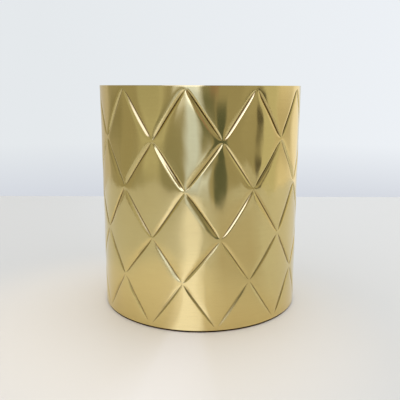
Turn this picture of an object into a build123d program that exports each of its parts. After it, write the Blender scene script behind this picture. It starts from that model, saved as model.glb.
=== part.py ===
from build123d import *
import os
from math import atan2, degrees, hypot, radians, sin

# A brass cachepot: a sheet-brass wall rolled into a tube and brazed down the back, a base disc brazed
# into its foot, and a felt pad glued underneath. A lattice of diamonds is chased round the wall.
# Millimetres, +Z up, origin on the table under the middle of the pot, seam at the back on +Y.

# Overall
pot_diameter = 115.0
pot_height = 127.0

# Sheet metal and pad
wall_thickness = 1.2
base_thickness = 1.5
felt_thickness = 1.0
felt_inset = 0.5
edge_break = 0.3
largest_break_share = 0.4  # of the wall's thickness

# Brazed joints
seam_width = 0.4
braze_gap = 0.1
braze_leg = 2.4
braze_hollow = 0.4

# Chased lattice: a row of crossings near the rim, one near the foot, and the rest evenly between
diamonds_around = 10
stroke_rows = 5
rim_margin = 2.4
foot_margin = 1.8
crossing_gap = 1.6
stroke_width = 2.6

# Worked out from the sizes above
outer_radius = pot_diameter / 2
inner_radius = outer_radius - wall_thickness
foot_z = felt_thickness
wall_height = pot_height - foot_z
base_top_z = foot_z + base_thickness
base_radius = inner_radius - braze_gap
felt_radius = outer_radius - felt_inset
edge_chamfer = min(edge_break, largest_break_share * wall_thickness)
seam_reach = 4 * wall_thickness  # radially, so that the seam's outline clears both faces of the wall
top_row_z = pot_height - rim_margin
bottom_row_z = foot_z + foot_margin
row_height = (top_row_z - bottom_row_z) / stroke_rows
half_diamond_angle = 180 / diamonds_around
half_diamond_width = outer_radius * radians(half_diamond_angle)
stroke_lean = degrees(atan2(half_diamond_width, row_height))
stroke_half_length = hypot(half_diamond_width, row_height) / 2 - crossing_gap

# The front of the pot, where a column of crossings stands, is at -Y
front_angle = -90


# One stroke of the chasing chisel, laid at the origin: radial along X, the stroke along Z. The chisel
# cuts a straight V into the round wall, so it is deepest half way and runs out at both ends. The V is
# twice as high as the stroke is deep, and so twice as wide as the stroke, to clear the surface.
stroke_curvature = sin(radians(stroke_lean)) ** 2 / outer_radius
stroke_depth = stroke_curvature * stroke_half_length**2 / 2
chisel_half_length = stroke_half_length + stroke_width

with BuildPart() as chisel_stroke:
    with BuildSketch():
        with BuildLine():
            Polyline(
                (-stroke_depth, 0), (stroke_depth, stroke_width), (stroke_depth, -stroke_width), close=True
            )
        make_face()
    extrude(amount=chisel_half_length, both=True)


# A tube of sheet metal with its rim and outer foot edge broken: all of it but the seam, or the seam alone
def roll_sheet(piece, seam_mode):
    with BuildSketch(Plane.XY.offset(foot_z)) as tube_section:
        Circle(outer_radius)
        Circle(inner_radius, mode=Mode.SUBTRACT)
        with Locations((0, outer_radius)):
            Rectangle(seam_width, seam_reach, mode=seam_mode)
    extrude(tube_section.sketch, amount=wall_height)
    round_edges = piece.edges().filter_by(GeomType.CIRCLE).group_by(Axis.Z)
    rim_edges = round_edges[-1]
    outer_foot_edge = round_edges[0].sort_by(SortBy.RADIUS)[-1]
    chamfer(rim_edges + [outer_foot_edge], edge_chamfer)


# The rolled wall, open down the back by the width of its seam
with BuildPart() as wall:
    roll_sheet(wall, Mode.SUBTRACT)

    # Every row has one stroke at each half-diamond step, leaning left and right by turns
    for row in range(stroke_rows):
        stroke_z = top_row_z - (row + 0.5) * row_height
        for side in (-1, 1):
            first_angle = front_angle + side * half_diamond_angle / 2 + row * half_diamond_angle
            with Locations((0, 0, stroke_z)):
                with PolarLocations(outer_radius, diamonds_around, start_angle=first_angle):
                    add(chisel_stroke.part, rotation=(side * stroke_lean, 0, 0), mode=Mode.SUBTRACT)
wall.part.label = "wall"


# Brazing metal that fills the wall's seam, dressed flush with the wall
with BuildPart() as seam_braze:
    roll_sheet(seam_braze, Mode.INTERSECT)
seam_braze.part.label = "seam_braze"


# Base disc, flush with the foot of the wall
with BuildPart() as base_disc:
    with BuildSketch(Plane.XY.offset(foot_z)):
        Circle(base_radius)
    extrude(amount=base_thickness)
base_disc.part.label = "base_disc"


# Brazing metal round the base disc: the thin joint and the hollow fillet above it
with BuildPart() as base_braze:
    with BuildSketch(Plane.XZ):
        with BuildLine():
            fillet_toe = (base_radius - braze_leg, base_top_z)
            fillet_corner = (base_radius, base_top_z)
            fillet_top = (inner_radius, base_top_z + braze_leg)
            Polyline(fillet_toe, fillet_corner, (base_radius, foot_z), (inner_radius, foot_z), fillet_top)
            SagittaArc(fillet_top, fillet_toe, braze_hollow)
        make_face()
    revolve(axis=Axis.Z)
base_braze.part.label = "base_braze"


# Felt pad that the pot stands on
with BuildPart() as felt_pad:
    with BuildSketch(Plane.XY):
        Circle(felt_radius)
    extrude(amount=felt_thickness)
felt_pad.part.label = "felt_pad"


os.makedirs("parts", exist_ok=True)
for piece in (wall, seam_braze, base_disc, base_braze, felt_pad):
    export_step(piece.part, f"parts/{piece.part.label}.step")

print("stroke length", round(2 * stroke_half_length, 2), "depth", round(stroke_depth, 3))
print("stroke lean", round(stroke_lean, 2))
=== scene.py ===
import math
import bmesh
import bpy
import numpy as np
from mathutils import Matrix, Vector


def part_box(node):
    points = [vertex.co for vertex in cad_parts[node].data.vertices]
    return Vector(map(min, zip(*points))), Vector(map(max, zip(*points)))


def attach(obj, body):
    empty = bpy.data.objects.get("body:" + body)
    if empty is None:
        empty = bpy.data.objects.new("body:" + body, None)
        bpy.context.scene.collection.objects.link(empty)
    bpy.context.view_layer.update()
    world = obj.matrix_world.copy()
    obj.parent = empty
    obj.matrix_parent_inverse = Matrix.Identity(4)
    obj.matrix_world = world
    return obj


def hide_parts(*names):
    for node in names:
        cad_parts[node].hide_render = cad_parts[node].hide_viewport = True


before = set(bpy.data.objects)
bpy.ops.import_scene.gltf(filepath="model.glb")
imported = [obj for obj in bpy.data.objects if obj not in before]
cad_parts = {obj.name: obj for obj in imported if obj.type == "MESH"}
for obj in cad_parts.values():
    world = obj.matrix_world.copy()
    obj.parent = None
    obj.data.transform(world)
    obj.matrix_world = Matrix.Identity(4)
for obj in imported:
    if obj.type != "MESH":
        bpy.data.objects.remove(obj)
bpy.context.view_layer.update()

mm = 0.001
tolerance = {
    "merge": 0.002 * mm,   # points closer than this are one
    "cut": 0.0001 * mm,    # points closer to a cut than this lie on it
    "pick": 0.01 * mm,     # for picking edges by their place
    "face": 0.001 * mm,    # for telling the sheet's two faces and its rounded edges apart
    "division": 1e-9,      # keeps a width of nothing from dividing by zero
}
print("frame loaded:", ", ".join(sorted(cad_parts)))


# Small tools

def linearColor(hexCode, strength=1.0):  # sRGB hex to the linear colour that shaders use
    shares = [int(hexCode[i:i + 2], 16) / 255 for i in (1, 3, 5)]
    linear = [c / 12.92 if c <= 0.04045 else ((c + 0.055) / 1.055) ** 2.4 for c in shares]
    return [c * strength for c in linear] + [1.0]


def addNode(tree, kind, settings=None, links=None):  # a named setting is a socket's if there is one
    node = tree.nodes.new("ShaderNode" + kind)
    for name, value in (settings or {}).items():
        if isinstance(name, int) or name in node.inputs:
            node.inputs[name].default_value = value
        else:
            setattr(node, name, value)
    for name, source in (links or {}).items():
        tree.links.new(source, node.inputs[name])
    return node


def startMaterial(name):  # a material without nodes, and its node tree
    material = bpy.data.materials.new(name)
    material.use_nodes = True
    material.node_tree.nodes.clear()
    return material, material.node_tree


def dress(piece, material):
    piece.data.materials.clear()
    piece.data.materials.append(material)


def readPoints(piece):
    points = np.zeros(len(piece.data.vertices) * 3)
    piece.data.vertices.foreach_get("co", points)
    return points.reshape(-1, 3)


def writePoints(piece, points):
    piece.data.vertices.foreach_set("co", points.ravel())
    piece.data.update()


def keepAttribute(piece, name, kind, values):  # one value for each point, read by the materials
    layer = piece.data.attributes.new(name, kind, "POINT")
    layer.data.foreach_set("vector" if kind == "FLOAT_VECTOR" else "value", values.ravel())


def clamp(values):  # to the range from 0 to 1
    return np.clip(values, 0, 1)


def pickEdges(piece, wanted):  # in edit mode: selects the open edges whose ends are both wanted
    bpy.ops.mesh.select_mode(type="EDGE")
    bpy.ops.mesh.select_all(action="DESELECT")
    mesh = bmesh.from_edit_mesh(piece.data)
    for edge in mesh.edges:
        edge.select_set(edge.is_boundary and all(wanted(vert.co) for vert in edge.verts))
    bmesh.update_edit_mesh(piece.data)


def pullEdges(steps):  # extrudes the picked edges through one step after another
    for step in steps:
        bpy.ops.mesh.extrude_edges_move(TRANSFORM_OT_translate={"value": step})


# Wall: two flat sheets, the outer face and the inner one, are joined along their edges, chased with the
# lattice and rolled up

wallLow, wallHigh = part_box("wall")
chasedWall = {
    "radius": -wallLow.y,      # the front is whole, the seam is at the back
    "foot": wallLow.z,
    "rim": wallHigh.z,
    "thickness": 1.2 * mm,
    "edgeRound": 0.25 * mm,
    "edgeSteps": 4,
    "marginSteps": 3,          # rows of faces between the lattice and the rounded edges
    "innerLip": 1.0 * mm,      # plain metal between the inner lattice and the rim's turn
    "seamGap": 0.4 * mm,
    "diamondsAround": 10,
    "strokeRows": 5,
    "rimMargin": 2.4 * mm,
    "footMargin": 1.8 * mm,
    "outerGrid": (38, 0.13),   # lines across one diamond, and how evenly they are spread: the less
    "innerGrid": (16, 0.40),   # even, the more they crowd towards the strokes
    "smoothAngle": 60,         # in degrees: only sharper edges show as edges
}
strokes = {
    "seed": 22,
    "depth": 0.44 * mm,        # of the wide, soft-shouldered dent
    "gentleFlank": 2.7 * mm,   # its width on the side that the chisel leans to
    "steepFlank": 1.1 * mm,
    "flankBend": 1.25,         # 1 is a straight V, more gives softer shoulders
    "lineDepth": 0.38 * mm,    # of the chisel's own lopsided V in the middle of the dent
    "gentleSteps": 7,          # grid lines from its bottom to its edges, so that the edges are clean
    "steepSteps": 6,
    "rowLighter": 0.13,        # each row further down is cut lighter by this share
    "rowShallower": 0.08,      # and its dents are shallower by this one
    "otherLean": 0.12,         # share of strokes with the chisel leaning the other way
    "dentFade": 6.0,           # how late the dent runs out towards its ends
    "lineFade": (3.5, 8.0),    # and the chisel's V, from a long point to a blunt end
    "footFade": 3.5,           # the lowest row runs out in points
    "pointWidth": 0.2,         # share of its width that a stroke keeps at a point
    "pointReach": 2.5 * mm,
    "gap": 0.9 * mm,           # plain metal left before a crossing
    "gapSpread": 0.6 * mm,
    "footGap": 1.0 * mm,       # and more of it above the foot
    "depthSpread": 0.14,
    "lineSpread": 0.3,
    "widthSpread": 0.15,
    "bow": 0.22 * mm,          # how far a hand-held stroke strays from its line
    "bowReach": 4.0 * mm,
    "secondShare": 0.6,        # share of strokes struck again, a little beside the first blow
    "secondSteps": 5,          # the grid line that the second blow follows
    "secondDepth": 0.07 * mm,
    "secondEnds": (-0.9, 0.9),  # it is shorter than the stroke
    "secondFade": 0.25,
    "secondStain": 0.55,
    "dishDepth": 0.2 * mm,     # the sheet gives a little beside each stroke
    "dishSpread": 0.4,
    "dishHalfWidth": 6.0 * mm,
    "residueHalfWidth": 0.44 * mm,  # polish left along the bottom
    "footEdgeShade": 1.0,        # painted shade along the foot's rounded edge, above the pad, in the residue colour
    "ridgeShare": 0.8,         # how much of a dent shows inside, as a soft ridge
    "ridgeHalfWidth": 3.0 * mm,
    "ridgeCalm": 8.0 * mm,     # none of it near the base
}
rowStray = {  # how far the hand-marked rows of crossings are off an even division, from the rim down
    "sideways": (0.9 * mm, 1.2 * mm, 0.2 * mm, 0.4 * mm, -1.2 * mm, -1.4 * mm),
    "up": (1.2 * mm, -0.4 * mm, -0.7 * mm, -1.6 * mm, -0.4 * mm, -1.2 * mm),
    "seamReach": 30 * mm,      # none of it sideways at the seam
}
sheetWaves = {  # rolling leaves upright bands in the sheet, and hand polishing low swells
    "seed": 5,
    "ripples": {"count": 26, "height": 0.008 * mm, "pitch": (6 * mm, 28 * mm), "lean": 0.6},
    "swells": {"count": 10, "height": 0.014 * mm, "pitch": (18 * mm, 45 * mm), "lean": 1.4},
    "calmEdge": 25 * mm,
}
around = 2 * math.pi * chasedWall["radius"]
halfWide = around / chasedWall["diamondsAround"] / 2
topRow = chasedWall["rim"] - chasedWall["rimMargin"]
bottomRow = chasedWall["foot"] + chasedWall["footMargin"]
rowHigh = (topRow - bottomRow) / chasedWall["strokeRows"]
strokeSpan = math.hypot(halfWide, rowHigh)  # from crossing to crossing
diamondSpan = 2 * halfWide * rowHigh / strokeSpan  # square across a diamond, from stroke to stroke


def crowd(share, even):  # 0 on a stroke's line, 1 in the middle of a diamond
    return even * share + (1 - even) * share ** 3


def gridPlace(steps):  # how far from a stroke's line the outer face has its grid lines
    lines, even = chasedWall["outerGrid"]
    return diamondSpan / 2 * crowd(2 * steps / lines, even)


gentleEdge = gridPlace(strokes["gentleSteps"])
steepEdge = gridPlace(strokes["steepSteps"])
secondPlace = gridPlace(strokes["secondSteps"])
secondWide = secondPlace - gridPlace(strokes["secondSteps"] - 1)


def drawDiamond(lines, even):  # one diamond of the lattice, flat and facing -Y
    bpy.ops.object.select_all(action="DESELECT")
    bpy.ops.mesh.primitive_grid_add(x_subdivisions=lines, y_subdivisions=lines, size=2)
    diamond = bpy.context.object
    flat = readPoints(diamond)[:, :2]
    u, v = (np.sign(flat) * (1 - crowd(1 - np.abs(flat), even))).T
    writePoints(diamond, np.column_stack([halfWide * (u - v) / 2, 0 * u, rowHigh * (u + v) / 2]))
    return diamond


def layLattice(diamond):  # repeats the diamond over the sheet and joins the copies
    bpy.ops.transform.translate(value=(-around / 2, 0, topRow - rowHigh))
    bpy.ops.object.transform_apply(location=True, rotation=False, scale=False)
    copies = {
        "columns": (chasedWall["diamondsAround"] + 1, (2 * halfWide, 0, 0)),
        "rows": ((chasedWall["strokeRows"] + 1) // 2, (0, 0, -2 * rowHigh)),
    }
    for name, (count, step) in copies.items():
        array = diamond.modifiers.new(name, "ARRAY")
        array.count = count
        array.use_relative_offset = False
        array.use_constant_offset = True
        array.constant_offset_displace = step
        bpy.ops.object.modifier_apply(modifier=name)
    bpy.ops.object.duplicate_move(TRANSFORM_OT_translate={"value": (halfWide, 0, rowHigh)})
    diamond.select_set(True)
    bpy.context.view_layer.objects.active = diamond
    bpy.ops.object.join()
    bpy.ops.object.mode_set(mode="EDIT")
    bpy.ops.mesh.select_all(action="SELECT")
    bpy.ops.mesh.remove_doubles(threshold=tolerance["merge"])


def trimSheet():  # in edit mode: cuts the sheet to the end rows of crossings and to the seam
    seamEnd = (around - chasedWall["seamGap"]) / 2
    cuts = (
        ((0, 0, topRow), (0, 0, 1)),
        ((0, 0, bottomRow), (0, 0, -1)),
        ((seamEnd, 0, 0), (1, 0, 0)),
        ((-seamEnd, 0, 0), (-1, 0, 0)),
    )
    for place, outwards in cuts:
        bpy.ops.mesh.select_all(action="SELECT")
        bpy.ops.mesh.bisect(plane_co=place, plane_no=outwards, clear_outer=True,
                            threshold=tolerance["cut"])
    bpy.ops.object.mode_set(mode="OBJECT")


def makeSheet(grid, inwards):  # a flat sheet with the lattice's grid, so far into the metal
    sheet = drawDiamond(*grid)
    layLattice(sheet)
    trimSheet()
    bpy.ops.transform.translate(value=(0, inwards, 0))
    bpy.ops.object.transform_apply(location=True, rotation=False, scale=False)
    return sheet


def quarterRound(startAngle):  # steps along a rounded edge, y going into the metal and z up
    radius, count = chasedWall["edgeRound"], chasedWall["edgeSteps"]
    turn = math.pi / 2 / count
    angles = [startAngle + i * turn for i in range(count + 1)]
    places = [(-radius * math.cos(a), radius * math.sin(a)) for a in angles]
    return [(0, b[0] - a[0], b[1] - a[1]) for a, b in zip(places, places[1:])]


def joinSheets(outer, inner):  # carries the outer sheet over rim and foot to the inner one
    bpy.ops.object.select_all(action="DESELECT")
    inner.select_set(True)
    outer.select_set(True)
    bpy.context.view_layer.objects.active = outer
    bpy.ops.object.join()
    bpy.ops.object.mode_set(mode="EDIT")
    thick, edge = chasedWall["thickness"], chasedWall["edgeRound"]
    rim, foot = chasedWall["rim"], chasedWall["foot"]
    lip = topRow + chasedWall["innerLip"]
    steps, tiny = chasedWall["marginSteps"], tolerance["pick"]

    # over the rim and down to the inner lattice
    pickEdges(outer, lambda place: place.z > topRow - tiny and place.y < tiny)
    pullEdges([(0, 0, (rim - edge - topRow) / steps)] * steps)
    pullEdges(quarterRound(0))
    pullEdges([(0, thick - 2 * edge, 0)])
    pullEdges(quarterRound(math.pi / 2))
    pullEdges([(0, 0, lip - rim + edge)])
    ends = (topRow, lip)
    pickEdges(outer, lambda place: (
        place.y > thick - tiny and min(abs(place.z - end) for end in ends) < tiny))
    bpy.ops.mesh.bridge_edge_loops()

    # both sheets down to the foot, the outer one round its edge
    pickEdges(outer, lambda place: abs(place.z - bottomRow) < tiny and place.y > tiny)
    pullEdges([(0, 0, foot - bottomRow)])
    pickEdges(outer, lambda place: abs(place.z - bottomRow) < tiny and place.y < tiny)
    pullEdges([(0, 0, (foot + edge - bottomRow) / steps)] * steps)
    pullEdges([(0, y, -z) for x, y, z in quarterRound(0)])
    pickEdges(outer, lambda place: abs(place.z - foot) < tiny)
    bpy.ops.mesh.bridge_edge_loops()

    # the two ends of the sheet, at the seam
    for side in (-1, 1):
        pickEdges(outer, lambda place: side * place.x > around / 2 - chasedWall["seamGap"])
        bpy.ops.mesh.edge_face_add()
    bpy.ops.object.mode_set(mode="OBJECT")
    return outer


def waveHeight(x, z):  # a sum of low waves that meet at the seam and die out at the sheet's edges
    hand = np.random.default_rng(sheetWaves["seed"])
    height = np.zeros(len(x))
    for waves in (sheetWaves["ripples"], sheetWaves["swells"]):
        for wave in range(waves["count"]):
            pitch = hand.uniform(*waves["pitch"])
            lean = waves["lean"] * hand.uniform(-1, 1)
            start = hand.uniform(0, 2 * math.pi)
            turns = round(around / pitch * math.cos(lean))
            phase = 2 * math.pi * (turns * x / around + z / pitch * math.sin(lean)) + start
            height += waves["height"] * np.sin(phase)
    fromEnds = np.minimum(chasedWall["rim"] - z, z - chasedWall["foot"])
    calm = clamp(np.minimum(fromEnds, around / 2 - np.abs(x)) / sheetWaves["calmEdge"])
    return (height - height.min()) * calm ** 2 * (3 - 2 * calm)


def strayRows(x, z):  # how far every point of the sheet is shifted along with the rows
    rows = [topRow - row * rowHigh for row in range(chasedWall["strokeRows"] + 1)]
    heights = [chasedWall["foot"]] + rows[::-1] + [chasedWall["rim"]]
    sideways = np.interp(z, heights, (0, *rowStray["sideways"][::-1], 0))
    up = np.interp(z, heights, (0, *rowStray["up"][::-1], 0))
    awayFromSeam = clamp((around / 2 - np.abs(x)) / rowStray["seamReach"])
    return np.column_stack([sideways * awayFromSeam, up])


def vary(hand, size, spread):  # a size as the hand gives it, up to this share more or less
    return size * (1 + spread * hand.uniform(-1, 1))


def planStroke(hand, row):  # how one stroke is struck: pairs are for its upper and its lower end
    lighter = 1 - strokes["rowLighter"] * row
    shallower = 1 - strokes["rowShallower"] * row
    stroke = {
        "lighter": lighter,
        "gaps": strokes["gap"] + strokes["gapSpread"] * hand.uniform(-1, 1, 2),
        "fades": hand.uniform(*strokes["lineFade"], 2),
        "deep": vary(hand, strokes["depth"], strokes["depthSpread"]) * shallower,
        "lineDeep": vary(hand, strokes["lineDepth"], strokes["lineSpread"]) * lighter,
        "wide": vary(hand, 1, strokes["widthSpread"]),
        "dishDeep": vary(hand, strokes["dishDepth"], strokes["dishSpread"]),
        "bows": strokes["bow"] * hand.uniform(-1, 1, 2),
        "lean": -1 if hand.uniform() < strokes["otherLean"] else 1,
        "struckAgain": hand.uniform() < strokes["secondShare"],
        "secondEnds": np.sort(hand.uniform(*strokes["secondEnds"], 2)),
    }
    if row == chasedWall["strokeRows"] - 1:
        stroke["gaps"][1] += strokes["footGap"]
        stroke["fades"][1] = strokes["footFade"]
    return stroke


def placeStroke(x, z, row, column, side):  # points near a stroke, and their places along and across it
    middleX = (2 * column + row % 2 + side / 2) * halfWide
    middleZ = topRow - (row + 0.5) * rowHigh
    along = np.array([side * halfWide, -rowHigh]) / strokeSpan
    across = np.array([rowHigh, side * halfWide]) / strokeSpan  # to the right
    dx = (x - middleX + around / 2) % around - around / 2
    dz = z - middleZ
    near = np.flatnonzero((np.abs(dx) < halfWide) & (np.abs(dz) < rowHigh))
    run = dx[near] * along[0] + dz[near] * along[1]
    aside = dx[near] * across[0] + dz[near] * across[1]
    return near, run, aside, across


def pressStroke(relief, stroke, near, run, aside, across):  # adds one stroke to the sheet's relief
    gaps, (bow, slant) = stroke["gaps"], stroke["bows"]
    off = np.abs(aside)
    steepSide = aside * stroke["lean"] > 0
    share = (run + (gaps[1] - gaps[0]) / 2) / (strokeSpan / 2 - gaps.mean())  # -1 and 1 at its ends
    reach = clamp(1 - np.abs(share) ** strokes["dentFade"])
    taper = clamp(1 - np.abs(share) ** np.where(share < 0, *stroke["fades"]))
    middle = clamp(1 - (run / strokeSpan * 2) ** 2)

    # the dent, the chisel's V and the dish round them, then the second blow
    flankWide = stroke["wide"] * np.where(steepSide, strokes["steepFlank"], strokes["gentleFlank"])
    flankReach = flankWide * np.sqrt(reach) + tolerance["division"]
    flank = clamp(1 - off / flankReach) ** strokes["flankBend"]
    line = clamp(1 - off / np.where(steepSide, steepEdge, gentleEdge))
    dish = clamp(1 - off / strokes["dishHalfWidth"]) ** 2 * middle
    relief["pressed"][near] += (
        stroke["deep"] * reach * flank + stroke["lineDeep"] * taper * line + stroke["dishDeep"] * dish)
    secondStart, secondEnd = stroke["secondEnds"]
    fromEnds = np.minimum(share - secondStart, secondEnd - share) / strokes["secondFade"]
    second = clamp(1 - np.abs(off - secondPlace) / secondWide) * clamp(fromEnds)
    second *= stroke["struckAgain"] & ~steepSide
    relief["pressed"][near] += strokes["secondDepth"] * second

    # the ridge inside, and what the material needs to know
    ridge = clamp(1 - (off / strokes["ridgeHalfWidth"]) ** 2) ** 2
    relief["ridged"][near] += strokes["ridgeShare"] * stroke["deep"] * reach * ridge
    residue = np.sqrt(taper * stroke["lighter"]) * clamp(1 - (off / strokes["residueHalfWidth"]) ** 2)
    residue = np.maximum(residue, strokes["secondStain"] * second)
    relief["residueAndFootShade"][near] = np.maximum(relief["residueAndFootShade"][near], residue)
    relief["dented"][near] = np.maximum(relief["dented"][near], reach * np.sqrt(flank))

    # the bow of a hand-held stroke, and its pointed ends
    hold = clamp(1 - off / strokes["bowReach"]) ** 2 * middle
    stray = hold * (bow + slant * run / strokeSpan * 2)
    pinch = (1 - strokes["pointWidth"]) * (1 - taper)
    pinch *= clamp(1 - off / strokes["pointReach"]) ** 2
    pinch *= clamp((strokeSpan / 2 - np.abs(run)) / strokes["gap"])
    relief["drift"][near] += np.outer(stray - pinch * aside, across)


def chaseStrokes(sheet):  # presses every stroke into the outer face and its back out of the inner one
    hand = np.random.default_rng(strokes["seed"])
    places = readPoints(sheet)
    x, inwards, z = places.T.copy()
    outer = inwards < tolerance["face"]
    inner = inwards > chasedWall["thickness"] - tolerance["face"]
    relief = {name: np.zeros(len(x)) for name in ("ridged", "residueAndFootShade", "dented")}
    relief["pressed"] = waveHeight(x, z)
    relief["drift"] = strayRows(x, z)
    for row in range(chasedWall["strokeRows"]):
        for column in range(chasedWall["diamondsAround"]):
            for side in (-1, 1):
                stroke = planStroke(hand, row)
                pressStroke(relief, stroke, *placeStroke(x, z, row, column, side))
    ridged = relief["ridged"] * clamp((z - chasedWall["foot"]) / strokes["ridgeCalm"] - 1)
    places[outer, 1] += relief["pressed"][outer]
    places[inner, 1] += ridged[inner]
    places[:, 0] += relief["drift"][:, 0]
    places[:, 2] += relief["drift"][:, 1]
    # painted shade: the foot's rounded edge is darkened in the residue colour; the outer face keeps the
    # residue in its strokes
    footEdge = z < chasedWall["foot"] + chasedWall["edgeRound"] + tolerance["face"]
    residueAndFootShade = np.where(footEdge, strokes["footEdgeShade"], np.where(outer, relief["residueAndFootShade"], 0))
    keepAttribute(sheet, "residueAndFootShade", "FLOAT", residueAndFootShade)
    keepAttribute(sheet, "dented", "FLOAT", np.where(outer, relief["dented"], 0))
    keepAttribute(sheet, "inside", "FLOAT", inner.astype(float))
    keepAttribute(sheet, "sheetPlace", "FLOAT_VECTOR", np.column_stack([x, inwards, z]))
    writePoints(sheet, places)


def rollUp(sheet):  # bends the sheet round the pot's axis, its middle to the front
    places = readPoints(sheet)
    angle = places[:, 0] / chasedWall["radius"]
    radius = chasedWall["radius"] - places[:, 1]
    writePoints(sheet, np.column_stack([radius * np.sin(angle), -radius * np.cos(angle), places[:, 2]]))


wall = joinSheets(makeSheet(chasedWall["outerGrid"], 0),
                  makeSheet(chasedWall["innerGrid"], chasedWall["thickness"]))
chaseStrokes(wall)
rollUp(wall)
wall.name = wall.data.name = "chased_wall"
bpy.ops.object.mode_set(mode="EDIT")
bpy.ops.mesh.select_all(action="SELECT")
bpy.ops.mesh.normals_make_consistent(inside=False)
bpy.ops.object.mode_set(mode="OBJECT")
bpy.ops.object.shade_smooth_by_angle(angle=math.radians(chasedWall["smoothAngle"]))
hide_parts("wall")
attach(wall, "root")
print("wall:", len(wall.data.polygons), "faces")


# Felt pad under the foot

feltLow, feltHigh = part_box("felt_pad")
feltPad = {
    "radius": (feltHigh.x - feltLow.x) / 2,
    "thickness": feltHigh.z - feltLow.z,
    "sides": 160,
    "rings": 6,
    "edgeRound": 0.12 * mm,
    "edgeSteps": 3,
    "lump": 0.06 * mm,
    "lumpSize": 2.5 * mm,
}


def cutFelt():  # a disc with rings of faces, a pressed edge and a slightly lumpy surface
    radius, lump = feltPad["radius"], feltPad["lump"]
    bpy.ops.object.select_all(action="DESELECT")
    bpy.ops.mesh.primitive_cylinder_add(
        vertices=feltPad["sides"], radius=radius - lump, depth=feltPad["thickness"] - lump,
        location=(0, 0, feltPad["thickness"] / 2))
    felt = bpy.context.object
    bpy.ops.object.transform_apply(location=True, rotation=False, scale=False)
    bpy.ops.object.mode_set(mode="EDIT")
    bpy.ops.mesh.select_all(action="SELECT")
    bpy.ops.mesh.bevel(offset=feltPad["edgeRound"], segments=feltPad["edgeSteps"], affect="EDGES")
    bpy.ops.mesh.select_all(action="DESELECT")
    mesh = bmesh.from_edit_mesh(felt.data)
    for face in mesh.faces:
        face.select_set(len(face.verts) > 4)  # the top and the bottom
    bmesh.update_edit_mesh(felt.data)
    for ring in range(feltPad["rings"]):
        bpy.ops.mesh.inset(thickness=radius / (feltPad["rings"] + 1))
    bpy.ops.object.mode_set(mode="OBJECT")
    clouds = bpy.data.textures.new("felt lumps", "CLOUDS")
    clouds.noise_scale = feltPad["lumpSize"]
    rough = felt.modifiers.new("lumps", "DISPLACE")
    rough.texture = clouds
    rough.texture_coords = "LOCAL"
    rough.strength = lump
    bpy.ops.object.modifier_apply(modifier="lumps")
    bpy.ops.object.shade_smooth()
    felt.name = felt.data.name = "felt_disc"
    return felt


felt = cutFelt()
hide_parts("felt_pad")
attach(felt, "root")
print("felt:", len(felt.data.polygons), "faces")


# Polished brass, hand-buffed round the pot: a warm mirror with faint level lines and smears from
# handling, dark polish left at the bottom of the chased strokes, painted shade on the foot's edge, a
# duller, tarnished inside

polishedBrass = {
    "metal": "#DDCA8C",
    "warmMetal": "#D8C283",
    "tarnish": "#A58A55",
    # also the colour of the painted shade along the foot's edge
    "residue": "#4A3214",
    "stain": 0.95,             # share of residue at the bottom of a stroke, and of painted shade on the foot's edge
    "lineLength": 12 * mm,
    "linePitch": 0.5 * mm,     # the real lines are finer, and would not show
    "lineDetail": 3.0,
    "lineHeight": 0.002 * mm,
    "lineRange": (0.45, 0.7),  # of the noise, from no tint to the full one
    "lineTint": 0.045,
    "chatterSize": 1.0 * mm,   # the small unevenness of hand-worked flanks
    "chatterDetail": 2.0,
    "chatterHeight": 0.03 * mm,
    "smearSize": 16 * mm,
    "smearDetail": 4.0,
    "smearRange": (0.35, 0.65),  # of the noise, from clean to smeared
    "polish": (0.075, 0.13),   # roughness where it is clean and where it is smeared
    "creaseDull": 0.15,        # and what is added at the bottom of strokes, on their flanks and inside
    "dentDull": 0.12,
    "insideDull": 0.2,
    "buffing": 0.4,            # how far the level lines stretch the highlights
    "buffingTurn": 0.25,       # of a whole turn
}


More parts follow.
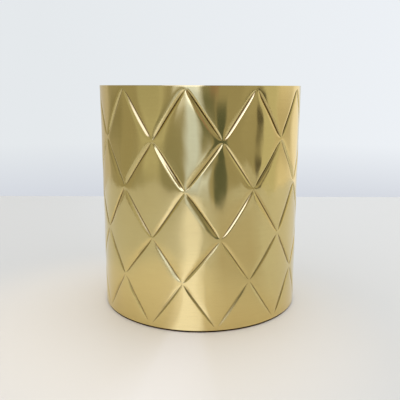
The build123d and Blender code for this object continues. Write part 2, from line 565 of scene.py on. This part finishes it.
def makePolishedBrass():
    look = polishedBrass
    material, tree = startMaterial("polished_sheet_brass")
    place = addNode(tree, "Attribute", {"attribute_name": "sheetPlace"}).outputs["Vector"]
    residueAndFootShade = addNode(tree, "Attribute", {"attribute_name": "residueAndFootShade"}).outputs["Fac"]
    dented = addNode(tree, "Attribute", {"attribute_name": "dented"}).outputs["Fac"]
    inside = addNode(tree, "Attribute", {"attribute_name": "inside"}).outputs["Fac"]

    # level buffing lines, and the uneven flanks of strokes
    along, across = 1 / look["lineLength"], 1 / look["linePitch"]
    lineMap = addNode(tree, "Mapping", {"Scale": (along, along, across)}, {"Vector": place})
    lines = addNode(tree, "TexNoise", {"Scale": 1.0, "Detail": look["lineDetail"]},
                    {"Vector": lineMap.outputs[0]})
    lineBump = addNode(tree, "Bump", {"Distance": look["lineHeight"]}, {"Height": lines.outputs[0]})
    chatter = addNode(tree, "TexNoise", {
        "Scale": 1 / look["chatterSize"], "Detail": look["chatterDetail"]}, {"Vector": place})
    worked = addNode(tree, "Math", {"operation": "MULTIPLY"}, {0: chatter.outputs[0], 1: dented})
    bump = addNode(tree, "Bump", {"Distance": look["chatterHeight"]},
                   {"Height": worked.outputs[0], "Normal": lineBump.outputs[0]})

    # gloss: duller in smears, in strokes and inside
    smears = addNode(tree, "TexNoise", {
        "Scale": 1 / look["smearSize"], "Detail": look["smearDetail"]}, {"Vector": place})
    fewest, most = look["smearRange"]
    clean, smeared = look["polish"]
    polish = addNode(tree, "MapRange", {
        "From Min": fewest, "From Max": most, "To Min": clean, "To Max": smeared},
        {0: smears.outputs[0]})
    creased = addNode(tree, "Math", {"operation": "MULTIPLY_ADD", 1: look["creaseDull"]},
                      {0: residueAndFootShade, 2: polish.outputs[0]})
    hammered = addNode(tree, "Math", {"operation": "MULTIPLY_ADD", 1: look["dentDull"]},
                       {0: dented, 2: creased.outputs[0]})
    roughness = addNode(tree, "Math", {"operation": "MULTIPLY_ADD", 1: look["insideDull"]},
                        {0: inside, 2: hammered.outputs[0]})

    # colour: two brass tones, tarnish inside, faint dark lines, residue in the strokes, painted shade on
    # the foot's edge
    tint = addNode(tree, "Mix", {
        "data_type": "RGBA", 6: linearColor(look["metal"]), 7: linearColor(look["warmMetal"])},
        {0: smears.outputs[0]})
    dulled = addNode(tree, "Math", {"operation": "MULTIPLY"}, {0: smears.outputs[0], 1: inside})
    aged = addNode(tree, "Mix", {"data_type": "RGBA", 7: linearColor(look["tarnish"])},
                   {0: dulled.outputs[0], 6: tint.outputs[2]})
    faintest, darkest = look["lineRange"]
    worn = addNode(tree, "MapRange", {
        "From Min": faintest, "From Max": darkest, "To Max": look["lineTint"]},
        {0: lines.outputs[0]})
    scored = addNode(tree, "Mix", {"data_type": "RGBA", 7: linearColor(look["residue"])},
                     {0: worn.outputs[0], 6: aged.outputs[2]})
    # residue in the strokes and painted shade on the foot's edge, both in the residue colour
    residueAndShadeShare = addNode(tree, "Math", {"operation": "MULTIPLY", 1: look["stain"]}, {0: residueAndFootShade})
    color = addNode(tree, "Mix", {"data_type": "RGBA", 7: linearColor(look["residue"])},
                    {0: residueAndShadeShare.outputs[0], 6: scored.outputs[2]})

    buffed = addNode(tree, "Tangent", {"direction_type": "RADIAL", "axis": "Z"})
    shine = addNode(tree, "BsdfPrincipled", {
        "Metallic": 1.0, "Anisotropic": look["buffing"], "Anisotropic Rotation": look["buffingTurn"]}, {
        "Base Color": color.outputs[2], "Roughness": roughness.outputs[0],
        "Normal": bump.outputs[0], "Tangent": buffed.outputs[0]})
    addNode(tree, "OutputMaterial", links={"Surface": shine.outputs[0]})
    return material


dress(wall, makePolishedBrass())


# Duller metals of the CAD pieces: brass with a straight satin grain on the base disc, and brazing metal,
# pitted and stained by flux round the base, dressed smooth down the seam

dullMetals = {
    "base_disc": {
        "name": "satin_sheet_brass", "metal": "#CDB679", "stain": "#8C7040", "stainSize": 18 * mm,
        "grain": (25 * mm, 0.4 * mm, 0.4 * mm), "grainHeight": 0.006 * mm, "polish": (0.26, 0.42)},
    "base_braze": {
        "name": "raw_brazing_metal", "metal": "#CFBD8E", "stain": "#5E4A30", "stainSize": 5 * mm,
        "grain": (1.2 * mm, 1.2 * mm, 1.2 * mm), "grainHeight": 0.12 * mm, "polish": (0.35, 0.6)},
    "seam_braze": {
        "name": "dressed_brazing_metal", "metal": "#DACA9C", "stain": "#8F7A4C", "stainSize": 6 * mm,
        "grain": (0.5 * mm, 0.5 * mm, 4 * mm), "grainHeight": 0.01 * mm, "polish": (0.14, 0.24)},
}
dullNoise = {  # the same for all three: ranges of the stains' noise, from clean to dull and to stained
    "grainDetail": 4.0,
    "stainDetail": 5.0,
    "dullRange": (0.35, 0.7),
    "stainRange": (0.4, 0.75),
}


def makeDullMetal(look):
    material, tree = startMaterial(look["name"])
    place = addNode(tree, "TexCoord").outputs["Object"]
    grainScale = [1 / size for size in look["grain"]]
    grainMap = addNode(tree, "Mapping", {"Scale": grainScale}, {"Vector": place})
    grain = addNode(tree, "TexNoise", {"Scale": 1.0, "Detail": dullNoise["grainDetail"]},
                    {"Vector": grainMap.outputs[0]})
    bump = addNode(tree, "Bump", {"Distance": look["grainHeight"]}, {"Height": grain.outputs[0]})
    stains = addNode(tree, "TexNoise", {
        "Scale": 1 / look["stainSize"], "Detail": dullNoise["stainDetail"]}, {"Vector": place})
    fewest, most = dullNoise["dullRange"]
    clean, dull = look["polish"]
    roughness = addNode(tree, "MapRange", {
        "From Min": fewest, "From Max": most, "To Min": clean, "To Max": dull},
        {0: stains.outputs[0]})
    faintest, darkest = dullNoise["stainRange"]
    spread = addNode(tree, "MapRange", {"From Min": faintest, "From Max": darkest},
                     {0: stains.outputs[0]})
    color = addNode(tree, "Mix", {
        "data_type": "RGBA", 6: linearColor(look["metal"]), 7: linearColor(look["stain"])},
        {0: spread.outputs[0]})
    shine = addNode(tree, "BsdfPrincipled", {"Metallic": 1.0}, {
        "Base Color": color.outputs[2], "Roughness": roughness.outputs[0], "Normal": bump.outputs[0]})
    addNode(tree, "OutputMaterial", links={"Surface": shine.outputs[0]})
    return material


for nodeName, look in dullMetals.items():
    finish = makeDullMetal(look)
    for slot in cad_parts[nodeName].material_slots:
        slot.material = finish


# Dark brown pressed felt: short tangled fibres that scatter light, lighter where they stand up, no gloss

feltLook = {
    "fibre": "#4A2F1C",
    "shade": "#0E0603",
    "fibreSize": 1.1 * mm,     # of a tangle: the single fibres are finer, and would not show
    "fibreDetail": 6.0,
    "fibreTangle": 2.0,
    "fibreRange": (0.42, 0.72),  # only the highest fibres catch the light
    "fibreHeight": 0.25 * mm,
    "roughness": 0.95,
    "gloss": 0.1,
    "sheen": 0.03,
}


def makeFelt():
    look = feltLook
    material, tree = startMaterial("pressed_felt")
    place = addNode(tree, "TexCoord").outputs["Object"]
    fibres = addNode(tree, "TexNoise", {
        "Scale": 1 / look["fibreSize"], "Detail": look["fibreDetail"],
        "Distortion": look["fibreTangle"]}, {"Vector": place})
    bump = addNode(tree, "Bump", {"Distance": look["fibreHeight"]}, {"Height": fibres.outputs[0]})
    lowest, highest = look["fibreRange"]
    raised = addNode(tree, "MapRange", {"From Min": lowest, "From Max": highest},
                     {0: fibres.outputs[0]})
    color = addNode(tree, "Mix", {
        "data_type": "RGBA", 6: linearColor(look["shade"]), 7: linearColor(look["fibre"])},
        {0: raised.outputs[0]})
    cloth = addNode(tree, "BsdfPrincipled", {
        "Roughness": look["roughness"], "Specular IOR Level": look["gloss"],
        "Sheen Weight": look["sheen"]}, {
        "Base Color": color.outputs[2], "Normal": bump.outputs[0]})
    addNode(tree, "OutputMaterial", links={"Surface": cloth.outputs[0]})
    return material


dress(felt, makeFelt())
print("materials ready")


# Stage: cards that only the brass mirrors, a pale table top and plain light

eyeAngle = math.radians(7.8)  # the camera stands this far round from the front
cardRing = {
    "distance": 900 * mm,
    "step": 5 * mm,            # a later card hangs in front of an earlier one
    "nearDistance": 300 * mm,
    "flatLift": 0.3 * mm,
    "columns": 12,
    "softShare": 0.45,         # of its height, at most, for a card's soft top or bottom edge
}
cards = {  # from and to in degrees round from the camera, bottom and top in mm, tone, power, soft edge
    "back_card": (118, 200, -300, 900, "#E6EAEE", 1.0, 6),
    "back_shade": (196, 242, -300, 900, "#CFC9BD", 1.0, 6),
    "right_soft": (42, 70, -30, 900, "#BAB6A2", 1.0, 10),
    "right_card": (67, 120, -300, 900, "#D8D7C4", 1.0, 3),
    "right_edge": (88, 136, -300, 900, "#F6EFE2", 1.0, 10),
    "right_shade": (88, 122, -50, 140, "#D6CEBC", 1.0, 6),
    "far_right": (122, 150, -300, 900, "#FFF8EA", 1.1, 6),
    "left_card": (-71, -34, -300, 900, "#CFCFBD", 1.0, 8),
    "left_high": (-72, -40, 10, 900, "#BFBFAC", 1.0, 5),
    "left_shade": (-104, -72, -300, 900, "#AEAA94", 1.0, 6),
    "left_dark": (-120, -90, 0, 130, "#9B9781", 1.0, 8),
    "left_low": (-84, -34, -300, 20, "#B0AF9E", 1.0, 6),
    "left_flag": (-47, -14, -300, 120, "#9C9C8A", 1.0, 9),
    "mid_flag": (-1, 17, -10, 150, "#7C8070", 1.0, 4),
    "low_strip": (-19, 3, -135, 270, "#C6D6FF", 1.41, 7),
    "tall_strip": (-29, 5, 88, 330, "#C8D4FF", 4.0, 7),
    "top_strip": (-42, 6, 280, 1500, "#CCD0FF", 3.0, 6),
    "window": (-20, 6, 290, 900, "#CFD2FF", 4.2, 6),
    "pale_patch": (-5, 14, -110, 8, "#CCDAFF", 1.48, 5),
    "warm_flag": (9, 21, 90, 330, "#AA8E82", 1.0, 3),
    "narrow_flag": (62, 72, 26, 100, "#5A564C", 0.6, 1),
    "narrow_flag_low": (61.5, 70, -62, 2, "#5E5A50", 0.7, 1),
}
nearCards = {  # the same, just above the table and closer
    "dark_stand": (14, 26.5, 12, 112, "#6A7264", 0.88, 2),
}
flatCards = {  # on the table: near and far in mm, and last how much shows from near to far
    "foot_strip": (-22, 4, 40, 380, "#E6E9FF", 1.73, 9, (0.75, 0.65, 0.5, 0.3)),
    "table_shade": (8, 66, 60, 380, "#C4BBA8", 1.0, 14, (0.2, 0.6, 0.5, 0.3)),
}


def onRing(degrees, distance):  # a place round the pot, counted from the camera
    angle = eyeAngle + math.radians(degrees)
    return distance * math.sin(angle), -distance * math.cos(angle)


def makeGlow(name, color):  # light that fades out towards the card's edges
    material, tree = startMaterial(name)
    fade = addNode(tree, "Attribute", {"attribute_name": "fade"})
    clear = addNode(tree, "BsdfTransparent")
    glow = addNode(tree, "Emission", {"Color": color, "Strength": 1.0})
    seen = addNode(tree, "MixShader", links={
        0: fade.outputs["Fac"], 1: clear.outputs[0], 2: glow.outputs[0]})
    addNode(tree, "OutputMaterial", links={"Surface": seen.outputs[0]})
    return material


def spreadColumns(fromAngle, toAngle, soft):  # the first and the last step are the soft edges
    core = np.linspace(fromAngle + soft, toAngle - soft, cardRing["columns"])
    return np.concatenate([[fromAngle], core, [toAngle]])


def buildCard(name, places, shares, color):  # places column by column, and how much shows of each row
    rowCount = len(shares)
    columnCount = len(places) // rowCount
    corners = (0, 1, rowCount + 1, rowCount)
    faces = [[rowCount * column + row + corner for corner in corners]
             for column in range(columnCount - 1) for row in range(rowCount - 1)]
    mesh = bpy.data.meshes.new(name)
    mesh.from_pydata(places, [], faces)
    card = bpy.data.objects.new(name, mesh)
    bpy.context.scene.collection.objects.link(card)
    shown = np.zeros((columnCount, rowCount))
    shown[1:-1] = shares
    keepAttribute(card, "fade", "FLOAT", shown)
    dress(card, makeGlow(name, color))
    card.visible_camera = card.visible_diffuse = card.visible_shadow = False


def hangCard(name, distance, fromAngle, toAngle, bottom, top, hexCode, power, soft):
    columns = spreadColumns(fromAngle, toAngle, soft)
    rise = math.radians(soft) * distance / mm  # the top and bottom edges are as soft as the sides
    rise = min(rise, cardRing["softShare"] * (top - bottom))  # where the card is high enough
    rows = (bottom, bottom + rise, top - rise, top)
    places = [(*onRing(angle, distance), z * mm) for angle in columns for z in rows]
    buildCard(name, places, (0, 1, 1, 0), linearColor(hexCode, power))


def layCard(name, lift, fromAngle, toAngle, near, far, hexCode, power, soft, shares):
    columns = spreadColumns(fromAngle, toAngle, soft)
    rows = np.linspace(near, far, len(shares))
    places = [(*onRing(angle, out * mm), lift) for angle in columns for out in rows]
    buildCard(name, places, shares, linearColor(hexCode, power))


for step, (name, card) in enumerate(cards.items()):
    hangCard(name, cardRing["distance"] - step * cardRing["step"], *card)
for name, card in nearCards.items():
    hangCard(name, cardRing["nearDistance"], *card)
for name, card in flatCards.items():
    layCard(name, cardRing["flatLift"], *card)


# Table top: a matt white board, plain and pale, with a broad, weak sheen

tableTop = {
    "back": 299 * mm,          # how far it reaches behind the pot, in front of it and to each side
    "front": 385 * mm,
    "side": 420 * mm,
    "tone": "#C7C6C4",
    "roughness": 0.5,
}


def makeBoard():
    material, tree = startMaterial("matt_white_board")
    board = addNode(tree, "BsdfPrincipled", {
        "Base Color": linearColor(tableTop["tone"]), "Roughness": tableTop["roughness"]})
    addNode(tree, "OutputMaterial", links={"Surface": board.outputs[0]})
    return material


bpy.ops.object.select_all(action="DESELECT")
bpy.ops.mesh.primitive_plane_add(size=1)
table = bpy.context.object
table.name = "table_top"
depth = tableTop["back"] + tableTop["front"]
middle = (tableTop["back"] - tableTop["front"]) / 2
table.scale = (2 * tableTop["side"], depth, 1)
table.rotation_euler = (0, 0, eyeAngle)
table.location = (-middle * math.sin(eyeAngle), middle * math.cos(eyeAngle), 0)
dress(table, makeBoard())


# Surroundings: a pale wall for the camera and the table, and toned down where the brass mirrors them

surroundings = {
    "roomTone": "#AEAA96",     # mirrored, from level rays to upright ones
    "highTones": {0.25: "#AEAA96", 0.5: "#6E6A5C", 0.8: "#7C786A"},  # by the height of the ray
    "ceilingTone": "#A8A69C",
    "leftWall": "#E5E9EC",
    "rightWall": "#EFF3F8",
    "sidewaysRange": (-0.4, 0.4),
    "lowWall": "#D3D7DF",
    "lowRange": (-0.2, -0.1),  # heights of the rays between which the low wall meets the rest
}


def lightSurroundings():
    world = bpy.data.worlds.new("studio")
    bpy.context.scene.world = world
    world.use_nodes = True
    tree = world.node_tree
    tree.nodes.clear()
    path = addNode(tree, "LightPath")
    direction = addNode(tree, "TexCoord")
    heading = addNode(tree, "SeparateXYZ", links={0: direction.outputs["Generated"]})
    height = heading.outputs["Z"]
    mirrored = addNode(tree, "ValToRGB", links={0: height})
    levels = mirrored.color_ramp.elements
    levels[0].color = linearColor(surroundings["roomTone"])
    levels[1].color = linearColor(surroundings["ceilingTone"])
    for stop, tone in surroundings["highTones"].items():
        levels.new(stop).color = linearColor(tone)
    left, right = surroundings["sidewaysRange"]
    sideways = addNode(tree, "MapRange", {"From Min": left, "From Max": right},
                       {0: heading.outputs["X"]})
    upperWall = addNode(tree, "Mix", {
        "data_type": "RGBA", 6: linearColor(surroundings["leftWall"]),
        7: linearColor(surroundings["rightWall"])}, {0: sideways.outputs[0]})
    low, high = surroundings["lowRange"]
    upwards = addNode(tree, "MapRange", {"From Min": low, "From Max": high}, {0: height})
    plain = addNode(tree, "Mix", {"data_type": "RGBA", 6: linearColor(surroundings["lowWall"])},
                    {0: upwards.outputs[0], 7: upperWall.outputs[2]})
    # 1 where the brass mirrors a ray, 0 for the camera and for what lights the table
    seenInBrass = addNode(tree, "Math", {"operation": "SUBTRACT", "use_clamp": True},
                          {0: path.outputs["Is Glossy Ray"], 1: path.outputs["Diffuse Depth"]})
    tones = addNode(tree, "Mix", {"data_type": "RGBA"},
                    {0: seenInBrass.outputs[0], 6: plain.outputs[2], 7: mirrored.outputs[0]})
    room = addNode(tree, "Background", {"Strength": 1.0}, {"Color": tones.outputs[2]})
    addNode(tree, "OutputWorld", links={"Surface": room.outputs[0]})


lightSurroundings()


# Lamps: a softbox overhead, and what the brass throws back on the table in front of it

overhead = {
    "wide": 1400 * mm,
    "deep": 1000 * mm,
    "power": 11.0,
    "place": (150 * mm, 360 * mm, 1300 * mm),
}
footGlow = {
    "power": 12.5,
    "tone": "#FFE2B4",
    "cone": 19,                # in degrees
    "place": (*onRing(-32, 64 * mm), 900 * mm),
}


def hangLamp(lamp, place):  # the brass doesn't mirror it
    holder = bpy.data.objects.new(lamp.name, lamp)
    holder.location = place
    holder.visible_glossy = False
    bpy.context.scene.collection.objects.link(holder)


softbox = bpy.data.lights.new("softbox", "AREA")
softbox.shape = "RECTANGLE"
softbox.size = overhead["wide"]
softbox.size_y = overhead["deep"]
softbox.energy = overhead["power"]
hangLamp(softbox, overhead["place"])

spot = bpy.data.lights.new("foot_glow", "SPOT")
spot.energy = footGlow["power"]
spot.color = linearColor(footGlow["tone"])[:3]
spot.spot_size = math.radians(footGlow["cone"])
spot.spot_blend = 1.0
spot.use_shadow = False
hangLamp(spot, footGlow["place"])


# Camera, from the fit of the photograph

lens = {
    "distance": 317.6 * mm,
    "height": 126.4 * mm,
    "tiltDown": 11.96,
    "roll": 0.17,
    "fieldOfView": 40.97,
}
camera = bpy.data.objects.new("camera", bpy.data.cameras.new("camera"))
bpy.context.scene.collection.objects.link(camera)
camera.data.sensor_fit = "HORIZONTAL"
camera.data.angle = math.radians(lens["fieldOfView"])
camera.matrix_world = (
    Matrix.Translation((*onRing(0, lens["distance"]), lens["height"]))
    @ Matrix.Rotation(eyeAngle, 4, "Z")
    @ Matrix.Rotation(math.radians(90 - lens["tiltDown"]), 4, "X")
    @ Matrix.Rotation(math.radians(lens["roll"]), 4, "Z"))
bpy.context.scene.camera = camera
bpy.context.scene.view_settings.view_transform = "Standard"
print("stage and camera ready")
